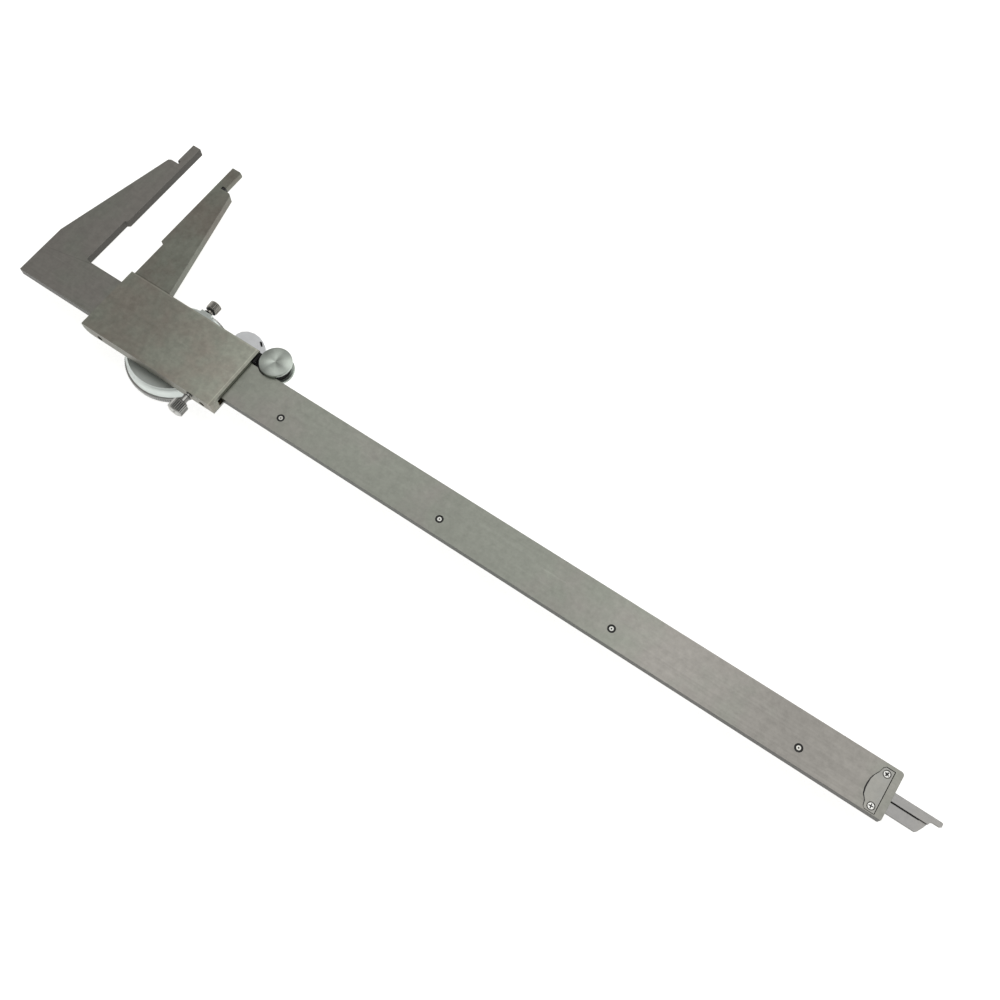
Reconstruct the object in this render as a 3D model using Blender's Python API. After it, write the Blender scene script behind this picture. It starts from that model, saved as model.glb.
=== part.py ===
"""A 300 mm dial caliper with nib jaws, a depth bar and a thumb roller.

Drawn in millimetres in the beam's own coordinates: x runs from the fixed jaw's outer
edge to the tail, y from the beam's lower edge towards the jaw tips, z out of the
beam's flat back. The dial side faces -z. Everything is then moved so that the origin
lies under the middle of the whole caliper, and turned into metres.
"""

import math

import bmesh
import bpy
from mathutils import Matrix, Vector

MM = 0.001
GAP = 0.3                       # clearance that fitted pieces keep

# beam and fixed jaw
BEAM_LENGTH = 419.4
BEAM_HEIGHT = 20.0
BEAM_THICK = 4.0
JAW_TIP = 96.0                  # tip of both jaws
SHOULDER = 83.8                 # where the nibs begin
NIB_WIDTH = 5.0
FIXED_FACE = 22.0               # x of the fixed measuring face
FACE_START = 46.2               # the measuring faces start here, relieved below
RELIEF = 1.3
GROOVE = (3.7, 12.9)            # y limits of the groove along the dial side
GROOVE_FLOOR = -1.5

# slider
OPENING = 19.5                  # jaw opening as drawn
SLIDE_FACE = FIXED_FACE + OPENING
SLIDER_X = (43.0, 114.7)
SLIDER_Y = (-6.3, 26.0)
SLIDER_TOP = 2.0
SLIDER_FLOOR = -4.2
GIB_WALL = -2.2                 # inner wall of the lower rail
PLATE_Z = (-5.7, -4.5)          # front plate
GIB_SCREWS = (51.9, 108.7)
LOCK_X, LOCK_Z = 102.6, -0.2

# rack and movement
RACK_X = (52.0, 391.0)
RACK_PITCH = 1.25
RACK_LINE = 8.0                 # pitch line of the rack
PIN_X = [60.6 + 80.57 * k for k in range(5)]
PIN_Y = 6.5
PINION_TEETH = 8
PINION_R = PINION_TEETH * RACK_PITCH / (2 * math.pi)
DIAL = (78.7, RACK_LINE + PINION_R)
GEAR_TEETH, GEAR_R = 60, 7.5
CENTRE_TEETH, CENTRE_R = 12, 1.5
ARBOR_SPACING = 9.05
HOUSING_Z = (-11.0, -6.0)
BEZEL_R = 23.2
BEZEL_Z = (-15.4, -11.3)

# roller
ROLLER = (123.5, 25.7)
ROLLER_R, ROLLER_HUB = 7.1, 5.4

# depth bar
BAR_START = 49.5
BAR_TIP = BEAM_LENGTH + OPENING
BAR_Y = (8.8, 12.4)
FOOT_Y = 4.0

ORIGIN = Vector((BAR_TIP / 2, 39.9, BEZEL_Z[0]))


# ---------------------------------------------------------------- scene and helpers

for old in list(bpy.data.objects):
    bpy.data.objects.remove(old, do_unlink=True)


def finish_of(name, colour, roughness, metallic):
    """One Principled material for one sort of metal or plastic."""
    material = bpy.data.materials.new(name)
    material.use_nodes = True
    shader = material.node_tree.nodes["Principled BSDF"]
    shader.inputs["Base Color"].default_value = (*colour, 1.0)
    shader.inputs["Roughness"].default_value = roughness
    shader.inputs["Metallic"].default_value = metallic
    return material


STEEL = finish_of("satin_steel", (0.36, 0.345, 0.32), 0.34, 1.0)
SLIDER_STEEL = finish_of("slider_steel", (0.34, 0.325, 0.30), 0.36, 1.0)
TURNED = finish_of("turned_steel", (0.55, 0.55, 0.54), 0.25, 1.0)
SCREW = finish_of("screw_steel", (0.42, 0.41, 0.39), 0.3, 1.0)
CASTING = finish_of("light_casting", (0.72, 0.73, 0.74), 0.5, 0.7)
BRASS = finish_of("brass", (0.72, 0.55, 0.25), 0.35, 1.0)
WHITE = finish_of("dial_white", (0.86, 0.86, 0.84), 0.5, 0.0)
BLACK = finish_of("black_rubber", (0.02, 0.02, 0.022), 0.6, 0.0)
NEEDLE = finish_of("pointer_black", (0.03, 0.03, 0.03), 0.4, 0.0)
GLASS = finish_of("crystal", (0.95, 0.97, 0.98), 0.05, 0.0)


def group(name, at):
    """An empty on a joint's axis that carries one moving group."""
    empty = bpy.data.objects.new(name, None)
    bpy.context.collection.objects.link(empty)
    empty.location = (Vector(at) - ORIGIN) * MM
    empty["at"] = tuple(at)
    return empty


def place(name, bm, material, at=(0.0, 0.0, 0.0), parent=None, smooth=False):
    """Turn a bmesh drawn in beam millimetres into an object whose origin is at `at`."""
    bmesh.ops.remove_doubles(bm, verts=bm.verts, dist=1e-5)
    bmesh.ops.recalc_face_normals(bm, faces=bm.faces)
    bmesh.ops.translate(bm, verts=bm.verts, vec=-Vector(at))
    bmesh.ops.scale(bm, verts=bm.verts, vec=(MM, MM, MM))
    mesh = bpy.data.meshes.new(name)
    bm.to_mesh(mesh)
    bm.free()
    if smooth:
        mesh.shade_smooth()
        mesh.set_sharp_from_angle(angle=math.radians(35))
    obj = bpy.data.objects.new(name, mesh)
    bpy.context.collection.objects.link(obj)
    if material:
        mesh.materials.append(material)
    base = Vector(parent["at"]) if parent else ORIGIN
    obj.location = (Vector(at) - base) * MM
    obj.parent = parent
    return obj


def prism(outline, low, high, axis="Z"):
    """Extrude a closed outline. Axis Z: outline is (x, y). Axis Y: outline is (x, z)."""
    bm = bmesh.new()
    if axis == "Z":
        corners = [(a, b, low) for a, b in outline]
        step = (0, 0, high - low)
    elif axis == "Y":
        corners = [(a, low, b) for a, b in outline]
        step = (0, high - low, 0)
    else:
        corners = [(low, a, b) for a, b in outline]
        step = (high - low, 0, 0)
    face = bm.faces.new([bm.verts.new(c) for c in corners])
    grown = bmesh.ops.extrude_face_region(bm, geom=[face])["geom"]
    bmesh.ops.translate(bm, verts=[v for v in grown if isinstance(v, bmesh.types.BMVert)], vec=step)
    bmesh.ops.recalc_face_normals(bm, faces=bm.faces)
    return bm


def block(x, y, z):
    return prism([(x[0], y[0]), (x[1], y[0]), (x[1], y[1]), (x[0], y[1])], z[0], z[1])


def turned(profile, centre, steps=32, axis="Z", ring=False):
    """Spin an (r, height) profile about an axis through `centre`."""
    bm = bmesh.new()
    rows = [bm.verts.new((r, 0.0, h)) for r, h in profile]
    edges = [bm.edges.new(pair) for pair in zip(rows, rows[1:])]
    if ring:
        edges.append(bm.edges.new((rows[-1], rows[0])))
    bmesh.ops.spin(bm, geom=rows + edges, cent=(0, 0, 0), axis=(0, 0, 1), angle=2 * math.pi,
                   steps=steps, use_duplicate=False)
    bmesh.ops.remove_doubles(bm, verts=bm.verts, dist=1e-4)
    if axis == "Y":
        bmesh.ops.rotate(bm, verts=bm.verts, cent=(0, 0, 0), matrix=Matrix.Rotation(-math.pi / 2, 3, "X"))
    bmesh.ops.translate(bm, verts=bm.verts, vec=centre)
    bmesh.ops.recalc_face_normals(bm, faces=bm.faces)
    return bm


def rod(radius, low, high, centre, steps=20, axis="Z"):
    return turned([(0, low), (radius, low), (radius, high), (0, high)], centre, steps, axis)


def combine(obj, bm, operation="DIFFERENCE"):
    """Cut or join a helper solid, given in beam millimetres, into a placed object."""
    helper = place(obj.name + "_tool", bm, None, tuple(obj["drawn_at"]) if "drawn_at" in obj else (0, 0, 0))
    helper.parent = obj.parent
    helper.location = obj.location
    helper.hide_render = True
    helper.display_type = "WIRE"
    modifier = obj.modifiers.new(operation.lower(), "BOOLEAN")
    modifier.operation = operation
    modifier.object = helper
    modifier.solver = "EXACT"
    return obj


def arc(cx, cy, radius, start, stop, steps):
    """Points along an arc, angles in degrees."""
    angles = [math.radians(start + (stop - start) * k / steps) for k in range(steps + 1)]
    return [(cx + radius * math.cos(a), cy + radius * math.sin(a)) for a in angles]


def toothed(teeth, inner, outer, centre, phase=0.0):
    """Outline of a small wheel with pointed teeth; phase is the angle of the first tip."""
    points = []
    for k in range(teeth):
        a = phase + 2 * math.pi * k / teeth
        b = a + math.pi / teeth
        points.append((centre[0] + outer * math.cos(a), centre[1] + outer * math.sin(a)))
        points.append((centre[0] + inner * math.cos(b), centre[1] + inner * math.sin(b)))
    return points


def nib(face, side):
    """Cross-section (x, z) of a nib: flat on the measuring face, round on the other side."""
    outer = face - side * NIB_WIDTH
    mid = -BEAM_THICK / 2
    bulge = 0.8
    curve = []
    for k in range(9):
        t = -1 + k / 4
        curve.append((outer + side * bulge * t * t, mid + t * BEAM_THICK / 2))
    return [(face, 0.0), (face, -BEAM_THICK)] + curve


# ---------------------------------------------------------------- groups on their joints

slider_group = group("slider_group", (SLIDER_X[0], 10.0, 0.0))
roller_group = group("roller_group", (*ROLLER, 0.0))
pinion_at = (DIAL[0] + ARBOR_SPACING, DIAL[1], HOUSING_Z[1])
backlash_at = (DIAL[0] - ARBOR_SPACING, DIAL[1], HOUSING_Z[1])
centre_at = (DIAL[0], DIAL[1], HOUSING_Z[1])
clamp_at = (DIAL[0], 31.4, -8.0)
lock_at = (LOCK_X, SLIDER_Y[0], LOCK_Z)


# ---------------------------------------------------------------- beam with fixed jaw

def make_beam():
    relief = FIXED_FACE - RELIEF
    outline = [(0, 0)]
    outline += arc(BEAM_LENGTH - 0.4, 0.4, 0.4, -90, 0, 2)
    outline += arc(BEAM_LENGTH - 1.3, BEAM_HEIGHT - 1.3, 1.3, 0, 90, 4)
    outline += list(reversed(arc(relief + 1.0, BEAM_HEIGHT + 1.0, 1.0, 180, 270, 3)))
    outline += [(relief, FACE_START - 0.9), (FIXED_FACE, FACE_START), (FIXED_FACE, SHOULDER + 3),
                (FIXED_FACE - 2.9, SHOULDER + 3), (FIXED_FACE - 2.9, SHOULDER),
                (14.8, SHOULDER), (13.6, SHOULDER - 0.8), (0, 25.8)]
    beam = place("beam_fixed_jaw", prism(outline, -BEAM_THICK, 0), STEEL)
    tip = prism(nib(FIXED_FACE, 1), SHOULDER + 1.5, JAW_TIP, "Y")
    combine(beam, tip, "UNION")
    combine(beam, block((28, BEAM_LENGTH + 2), GROOVE, (-BEAM_THICK - 1, GROOVE_FLOOR)))
    combine(beam, prism(tail_outline(0), -0.95, 1.0))
    for x in PIN_X:
        combine(beam, rod(1.7, -3.0, 1.0, (x, PIN_Y, 0), 16))
    for x, y in TAIL_SCREWS:
        combine(beam, rod(1.2, -6.0, 1.0, (x, y, 0), 12))


TAIL_SCREWS = [(414.0, 16.1), (414.1, 2.7)]


def tail_outline(inset):
    """The inlaid plate: straight towards the tail, bulged on the other side."""
    right = 416.4 - inset
    left = [(411.8, 17.5), (411.2, 15.6), (409.7, 12.6), (409.3, 9.6), (409.3, 7.4), (409.7, 5.4), (411.1, 3.4),
            (411.5, 1.4)]
    outline = [(412.4, 0.45 + inset), (right, 0.45 + inset), (right, 18.5 - inset), (412.8, 18.5 - inset)]
    return outline + [(x + inset, y) for x, y in left]


def make_rack():
    points = [(RACK_X[0], GROOVE[0] + GAP), (RACK_X[1], GROOVE[0] + GAP), (RACK_X[1], RACK_LINE - 0.4)]
    # a gap of the rack faces the pinion, so the tips sit half a pitch either side of it
    first = pinion_at[0] + RACK_PITCH / 2
    tips = [first + RACK_PITCH * k for k in range(-400, 401)]
    tips = [x for x in tips if RACK_X[0] + 0.8 < x < RACK_X[1] - 0.8]
    for x in reversed(tips):
        points += [(x, RACK_LINE + 0.4), (x - RACK_PITCH / 2, RACK_LINE - 0.4)]
    points.append((RACK_X[0], RACK_LINE - 0.4))
    rack = place("rack", prism(points, -3.8, GROOVE_FLOOR - GAP), TURNED)
    for x in PIN_X:
        combine(rack, rod(0.8, -5, 0, (x, PIN_Y, 0), 12))
    for k, x in enumerate(PIN_X):
        shape = [(0, -3.4), (0.55, -3.4), (0.55, -1.2), (1.4, -1.2), (1.4, -0.15), (1.3, -0.05), (0, -0.05)]
        place("rack_pin_%d" % (k + 1), turned(shape, (x, PIN_Y, 0), 16), SCREW, smooth=True)


def make_tail():
    plate = place("tail_plate", prism(tail_outline(0.25), -0.7, -0.12), STEEL)
    for k, (x, y) in enumerate(TAIL_SCREWS):
        combine(plate, rod(1.6, -3, 1, (x, y, 0), 20))
        shape = [(0, -3.6), (0.9, -3.6), (0.9, -0.7), (1.4, -0.7), (1.4, -0.2), (1.1, -0.02), (0, -0.02)]
        screw = place("tail_screw_%d" % (k + 1), turned(shape, (x, y, 0), 20), TURNED, smooth=True)
        combine(screw, block((x - 0.85, x + 0.85), (y - 0.15, y + 0.15), (-0.4, 0.3)))
        combine(screw, block((x - 0.15, x + 0.15), (y - 0.85, y + 0.85), (-0.4, 0.3)))


# ---------------------------------------------------------------- slider

def make_slider():
    x0, x1 = SLIDER_X
    side = [(x0, SLIDER_TOP)] + [(x0, SLIDER_TOP - 2.4)]
    side += arc(x0 + 3.8, SLIDER_FLOOR + 3.8, 3.8, 180, 270, 5)
    side += [(x1, SLIDER_FLOOR), (x1, SLIDER_TOP)]
    body = place("slider_body", prism(side, *SLIDER_Y, "Y"), SLIDER_STEEL, parent=slider_group)
    relief = SLIDE_FACE + RELIEF + 0.4
    shoulder = SLIDE_FACE + 9.0
    jaw = [(relief, 22), (64.0, 22), (63.2, 26), (shoulder + 0.2, SHOULDER - 1.0), (shoulder - 1.0, SHOULDER),
           (SLIDE_FACE + 2.9, SHOULDER), (SLIDE_FACE + 2.9, SHOULDER + 3), (SLIDE_FACE, SHOULDER + 3),
           (SLIDE_FACE, FACE_START), (relief, FACE_START - 0.9)]
    combine(body, prism(jaw, -BEAM_THICK, 0), "UNION")
    combine(body, prism(nib(SLIDE_FACE, -1), SHOULDER + 1.5, JAW_TIP, "Y"), "UNION")
    combine(body, block((x0 - 3, x1 + 3), (GIB_WALL, BEAM_HEIGHT + GAP), (SLIDER_FLOOR - 2, GAP)))
    for x in GIB_SCREWS:
        combine(body, rod(1.3, -9, -1, (x, 0, -2.2), 16, "Y"))
    combine(body, rod(1.6, -9, -1, (LOCK_X, 0, LOCK_Z), 16, "Y"))
    for x, y in PLATE_SCREWS + BRACKET_SCREWS:
        combine(body, rod(1.1, -6, -1.2, (x, y, 0), 12))


PLATE_SCREWS = [(57.0, -4.1), (98.5, -4.1), (52.0, 23.2), (96.6, 23.9)]
BRACKET_SCREWS = [(102.0, 23.2), (110.5, 23.2)]
BAR_SCREW = (51.5, 10.7)


def make_front_plate():
    y0, y1 = SLIDER_Y[0] + 0.4, SLIDER_Y[1] - 0.4
    corners = [(48.0, y0), (114.3, y0), (114.3, y1), (48.0, y1)]
    plate = place("front_plate", prism(corners, *PLATE_Z), STEEL, parent=slider_group)
    combine(plate, rod(2.4, -8, -2, (pinion_at[0], pinion_at[1], 0), 20))
    for x, y in PLATE_SCREWS + BRACKET_SCREWS + [BAR_SCREW]:
        combine(plate, rod(1.2, -8, -2, (x, y, 0), 12))
    for k, (x, y) in enumerate(PLATE_SCREWS):
        flat_screw("plate_screw_%d" % (k + 1), x, y, PLATE_Z[0] - 0.1, 1.55, 1.8)


def flat_screw(name, x, y, seat, head, depth):
    """A slotted cheese-head screw that enters from the dial side, head below `seat`."""
    shape = [(0, seat - 0.9), (head - 0.15, seat - 0.9), (head, seat - 0.75), (head, seat), (0.8, seat),
             (0.8, seat + depth + 1.2), (0, seat + depth + 1.2)]
    screw = place(name, turned(shape, (x, y, 0), 16), SCREW, parent=slider_group, smooth=True)
    combine(screw, block((x - head - 1, x + head + 1), (y - 0.2, y + 0.2), (seat - 2, seat - 0.5)))


def make_gib():
    strip = [(48.0, -1.9), (112.0, -1.9), (112.0, -GAP), (48.0, -GAP)]
    place("gib_strip", prism(strip, -3.8, 0.0), BRASS, parent=slider_group)
    for k, x in enumerate(GIB_SCREWS):
        shape = [(0, -5.3), (0.85, -5.3), (1.0, -5.15), (1.0, -2.25), (0, -2.25)]
        screw = place("gib_screw_%d" % (k + 1), turned(shape, (x, 0, -2.2), 16, "Y"), SCREW,
                      parent=slider_group, smooth=True)
        combine(screw, block((x - 2, x + 2), (-7, -4.9), (-2.35, -2.05)))


def knob(start, neck_end, end, stud_end, neck, head, stud, centre, name, parent):
    """A thumbscrew along y: stud inside its hole, neck, then a knurled head."""
    way = 1 if end > start else -1
    shape = [(0, stud_end), (stud, stud_end), (stud, start), (neck, start), (neck, neck_end),
             (head - 0.5, neck_end), (head, neck_end + way * 0.5), (head, end - way * 0.6),
             (head - 0.6, end), (0, end)]
    place(name, turned(shape, centre, 24, "Y"), SCREW, at=centre, parent=parent, smooth=True)


def make_thumbscrews():
    lock_group = group("lock_group", lock_at)
    lock_group.parent = slider_group
    lock_group.location = (Vector(lock_at) - Vector(slider_group["at"])) * MM
    knob(-0.3, -4.6, -9.9, 3.7, 1.45, 3.7, 1.2, lock_at, "lock_screw", lock_group)
    clamp_group = group("clamp_group", clamp_at)
    clamp_group.parent = slider_group
    clamp_group.location = (Vector(clamp_at) - Vector(slider_group["at"])) * MM
    knob(0.4, 2.0, 6.2, -2.6, 1.4, 2.8, 0.8, clamp_at, "clamp_screw", clamp_group)


# ---------------------------------------------------------------- dial housing and movement

def make_housing():
    low, high = HOUSING_Z
    c = (DIAL[0], DIAL[1], 0)
    profile = [(0, high), (20.5, high), (20.9, high - 0.7), (21.7, high - 1.6), (22.3, low), (20.6, low),
               (19.2, high - 0.8), (0, high - 0.8)]
    housing = place("dial_housing", turned(profile, c, 48), CASTING, parent=slider_group, smooth=True)
    combine(housing, block((DIAL[0] - 2.9, DIAL[0] + 2.9), (DIAL[1] + 19.9, clamp_at[1]), (-10.0, -6.3)), "UNION")
    combine(housing, rod(1.1, 27.0, 33.0, (DIAL[0], 0, clamp_at[2]), 16, "Y"))
    combine(housing, rod(2.4, -9, -2, (pinion_at[0], pinion_at[1], 0), 20))
    for k, (x, y) in enumerate(BRIDGE_SCREWS):
        combine(housing, rod(0.9, -9, -2, (x, y, 0), 12))


BRIDGE_SCREWS = [(DIAL[0], DIAL[1] + 11.5), (DIAL[0], DIAL[1] - 11.5)]


def make_bridge():
    x, y = DIAL
    outline = [(x - 12.5, y - 2.5), (x - 3, y - 14), (x + 3, y - 14), (x + 12.5, y - 2.5),
               (x + 12.5, y + 2.5), (x + 3, y + 14), (x - 3, y + 14), (x - 12.5, y + 2.5)]
    bridge = place("bridge", prism(outline, -10.1, -9.5), BRASS, parent=slider_group)
    for sx, sy in BRIDGE_SCREWS:
        combine(bridge, rod(1.9, -9.8, -7.1, (sx, sy, 0), 16), "UNION")
    for sx, sy in BRIDGE_SCREWS:
        combine(bridge, rod(1.0, -12, -5, (sx, sy, 0), 12))
    for ax, radius in ((x, 0.9), (pinion_at[0], 1.0), (backlash_at[0], 0.9)):
        combine(bridge, rod(radius, -12, -8, (ax, y, 0), 12))
    for k, (sx, sy) in enumerate(BRIDGE_SCREWS):
        shape = [(0, -10.9), (1.5, -10.9), (1.5, -10.25), (0.7, -10.25), (0.7, -6.3), (0, -6.3)]
        place("bridge_screw_%d" % (k + 1), turned(shape, (sx, sy, 0), 12), SCREW,
              parent=slider_group, smooth=True)


def movement_group(name, at):
    empty = group(name, at)
    empty.parent = slider_group
    empty.location = (Vector(at) - Vector(slider_group["at"])) * MM
    return empty


def arbored(name, teeth_outline, teeth_z, shaft, shaft_z, at, parent, material):
    """A shaft with a toothed length on it, made in one piece."""
    bar = rod(shaft, shaft_z[0], shaft_z[1], (at[0], at[1], 0), 12)
    piece = place(name, bar, material, at=at, parent=parent)
    piece["drawn_at"] = tuple(at)
    combine(piece, prism(teeth_outline, *teeth_z), "UNION")
    return piece


def make_movement():
    # rack pinion and the drive gear on its shaft
    pinion_group = movement_group("pinion_group", pinion_at)
    outline = []
    for k in range(PINION_TEETH):
        a = math.radians(-90) + 2 * math.pi * k / PINION_TEETH
        for offset, radius in ((-16, 1.05), (-4, 1.75), (4, 1.75), (16, 1.05)):
            b = a + math.radians(offset)
            outline.append((pinion_at[0] + radius * math.cos(b), pinion_at[1] + radius * math.sin(b)))
    arbored("rack_pinion", outline, (-3.75, -3.0), 0.7, (-10.6, -3.2), pinion_at, pinion_group, SCREW)
    gear_phase = math.pi / GEAR_TEETH
    for name, at, parent in (("drive_gear", pinion_at, pinion_group),
                             ("backlash_gear", backlash_at, movement_group("backlash_group", backlash_at))):
        gear = place(name, prism(toothed(GEAR_TEETH, GEAR_R - 0.17, GEAR_R + 0.17, at, gear_phase), -8.3, -7.7),
                     BRASS, at=at, parent=parent)
        gear["drawn_at"] = tuple(at)
        combine(gear, rod(1.0 if name == "drive_gear" else 0.9, -10, -6, (at[0], at[1], 0), 12))
        if name == "backlash_gear":
            place("backlash_arbor", rod(0.6, -10.6, -7.1, (at[0], at[1], 0), 12), SCREW, at=at, parent=parent)
    # centre pinion on the pointer's arbor
    centre_group = movement_group("centre_group", centre_at)
    arbored("centre_arbor", toothed(CENTRE_TEETH, CENTRE_R - 0.17, CENTRE_R + 0.17, centre_at), (-8.7, -7.4),
            0.55, (-13.0, -7.1), centre_at, centre_group, SCREW)
    # flat hairspring, held to the bridge, round the backlash arbor
    turns, rise = 3.0, 1.1
    coil = []
    count = 54
    for side in (1, -1):
        for k in range(count + 1):
            s = k if side == 1 else count - k
            a = 2 * math.pi * turns * s / count
            r = 1.3 + rise * a / (2 * math.pi) + side * 0.12
            coil.append((backlash_at[0] + r * math.cos(a), backlash_at[1] + r * math.sin(a)))
    place("hairspring", prism(coil, -9.1, -8.6), BRASS, parent=slider_group)
    # pointer on the end of the arbor
    hub = rod(1.6, -12.8, -12.2, (DIAL[0], DIAL[1], 0), 20)
    hand = place("pointer", hub, NEEDLE, at=centre_at, parent=centre_group)
    hand["drawn_at"] = tuple(centre_at)
    x, y = DIAL
    blade = [(x + 5.5, y - 0.55), (x + 5.5, y + 0.55), (x - 15.5, y + 0.2), (x - 16.2, y), (x - 15.5, y - 0.2)]
    combine(hand, prism(blade, -12.65, -12.35), "UNION")
    combine(hand, rod(0.85, -14, -11, (x, y, 0), 12))


def make_bezel():
    bezel_group = movement_group("bezel_group", centre_at)
    c = (DIAL[0], DIAL[1], 0)
    low, high = BEZEL_Z
    profile = [(20.9, high), (22.9, high), (BEZEL_R, high - 0.3), (BEZEL_R, low + 1.5), (21.9, low),
               (19.4, low), (19.0, low + 0.5), (19.0, low + 0.9), (20.9, low + 0.9)]
    place("bezel", turned(profile, c, 60, ring=True), TURNED, at=centre_at, parent=bezel_group, smooth=True)
    face = place("dial_face", rod(20.4, -11.95, -11.55, c, 60), WHITE, at=centre_at, parent=bezel_group)
    face["drawn_at"] = tuple(centre_at)
    combine(face, rod(1.2, -14, -9, c, 16))
    place("crystal", rod(20.5, -14.2, -13.6, c, 60), GLASS, at=centre_at, parent=bezel_group, smooth=True)


# ---------------------------------------------------------------- roller, bracket, wiper, depth bar

def make_roller():
    c = (ROLLER[0], ROLLER[1], 0)
    crown = [(98.4, 29.0), (99.4, 31.0), (101.8, 32.8), (104.6, 33.4), (107.6, 33.2), (110.4, 32.2), (113.0, 30.6)]
    bracket = [(98.4, 21.0)] + crown + [(118.6, 30.6)]
    bracket += arc(ROLLER[0], ROLLER[1], 5.8, 115, -115, 10)
    bracket += [(117.5, 21.0)]
    plate = place("roller_bracket", prism(bracket, -7.8, -6.0), CASTING, parent=slider_group)
    bump = [(98.4, 26.5)] + crown + [(114.6, 28.6), (115.0, 26.5)]
    combine(plate, prism(bump, -7.0, -3.0), "UNION")
    combine(plate, rod(1.9, -10, -3, c, 16))
    slot = [(109.0, 31.3), (109.5, 31.7), (110.1, 31.7), (111.6, 30.3), (111.1, 29.7), (109.7, 30.9)]
    combine(plate, prism(slot, -4.0, -2.0))
    for x, y in BRACKET_SCREWS:
        combine(plate, rod(1.2, -10, -3, (x, y, 0), 12))
    for k, (x, y) in enumerate(BRACKET_SCREWS):
        flat_screw("bracket_screw_%d" % (k + 1), x, y, -7.9, 1.9, 3.6)
    axle = [(0, -8.8), (2.6, -8.8), (2.6, -8.1), (1.6, -8.1), (1.6, -0.9), (0, -0.9)]
    place("roller_axle", turned(axle, c, 20), SCREW, parent=slider_group, smooth=True)
    roller_group.parent = slider_group
    roller_group.location = (Vector((*ROLLER, 0.0)) - Vector(slider_group["at"])) * MM
    spool = [(0, 1.9), (ROLLER_R - 0.3, 1.9), (ROLLER_R, 1.6), (ROLLER_R, 0.6), (ROLLER_R - 0.3, 0.3),
             (ROLLER_HUB, 0.3), (ROLLER_HUB, -4.3), (ROLLER_R - 0.3, -4.3), (ROLLER_R, -4.6), (ROLLER_R, -5.4),
             (ROLLER_R - 0.3, -5.7), (1.8, -5.7), (1.8, -0.6), (0, -0.6)]
    place("thumb_roller", turned(spool, c, 40), TURNED, at=c, parent=roller_group, smooth=True)
    pad = block((114.95, 116.1), (20.4, 25.7), (-4.0, 1.3))
    place("rail_wiper", pad, BLACK, parent=slider_group)


def make_depth_bar():
    tip, foot = BAR_TIP, BAR_TIP - 7.3
    y0, y1 = BAR_Y
    ridge = [(BAR_START, y0), (tip - 4.5, y0)]
    ridge += list(reversed(arc(tip - 3.1, y0, 1.4, 90, 180, 4)))[1:]
    ridge += [(tip - 0.8, y0 + 1.4), (tip, y0 + 1.9), (tip, y1 - 0.4), (tip - 0.4, y1), (BAR_START, y1)]
    bar = place("depth_bar", prism(ridge, -2.7, -1.8), STEEL, parent=slider_group)
    sole = [(tip - 24, FOOT_Y), (foot, FOOT_Y), (foot + 0.7, FOOT_Y + 0.7), (foot + 2.0, FOOT_Y + 3.2),
            (foot + 2.7, y0 + 0.4), (tip - 24, y0 + 0.4)]
    combine(bar, prism(sole, -3.5, -2.5), "UNION")
    combine(bar, block((tip - 24, foot), (y0 + 0.2, y1), (-3.5, -2.4)), "UNION")
    combine(bar, block((BAR_START, BAR_START + 5), (y0 + 0.2, y1 - 0.2), (-4.2, -2.4)), "UNION")
    combine(bar, rod(1.0, -5, -2.2, (*BAR_SCREW, 0), 12))
    flat_screw("bar_screw", BAR_SCREW[0], BAR_SCREW[1], PLATE_Z[0] - 0.1, 1.9, 1.8)


make_beam()
make_rack()
make_tail()
make_slider()
make_front_plate()
make_gib()
make_thumbscrews()
make_housing()
make_bridge()
make_movement()
make_bezel()
make_roller()
make_depth_bar()
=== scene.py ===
"""Dial caliper with nib jaws and a 300 mm measuring range, seen from the back of its beam."""
import math

import bmesh
import bpy
from mathutils import Matrix, Vector


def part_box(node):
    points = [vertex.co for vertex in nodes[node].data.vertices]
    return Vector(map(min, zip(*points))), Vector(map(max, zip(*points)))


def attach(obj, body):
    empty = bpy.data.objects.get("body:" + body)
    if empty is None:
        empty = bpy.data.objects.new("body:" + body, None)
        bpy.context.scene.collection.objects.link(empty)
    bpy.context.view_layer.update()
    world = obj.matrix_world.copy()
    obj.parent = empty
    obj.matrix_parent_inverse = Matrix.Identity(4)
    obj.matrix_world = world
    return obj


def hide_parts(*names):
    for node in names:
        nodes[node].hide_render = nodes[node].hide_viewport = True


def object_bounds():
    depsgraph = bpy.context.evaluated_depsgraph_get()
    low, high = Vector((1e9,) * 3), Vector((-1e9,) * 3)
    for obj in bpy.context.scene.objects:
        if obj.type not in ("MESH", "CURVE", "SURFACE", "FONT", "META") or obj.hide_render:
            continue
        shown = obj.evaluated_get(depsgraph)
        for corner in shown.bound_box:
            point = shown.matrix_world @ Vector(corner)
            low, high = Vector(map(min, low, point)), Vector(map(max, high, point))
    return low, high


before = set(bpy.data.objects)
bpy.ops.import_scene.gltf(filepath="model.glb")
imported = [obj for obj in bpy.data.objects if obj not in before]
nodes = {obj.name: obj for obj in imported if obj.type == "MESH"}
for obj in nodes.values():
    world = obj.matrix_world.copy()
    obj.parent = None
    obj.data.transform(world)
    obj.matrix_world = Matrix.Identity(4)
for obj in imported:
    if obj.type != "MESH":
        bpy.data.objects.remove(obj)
cad_low, cad_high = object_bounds()
mm = 0.001

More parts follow.
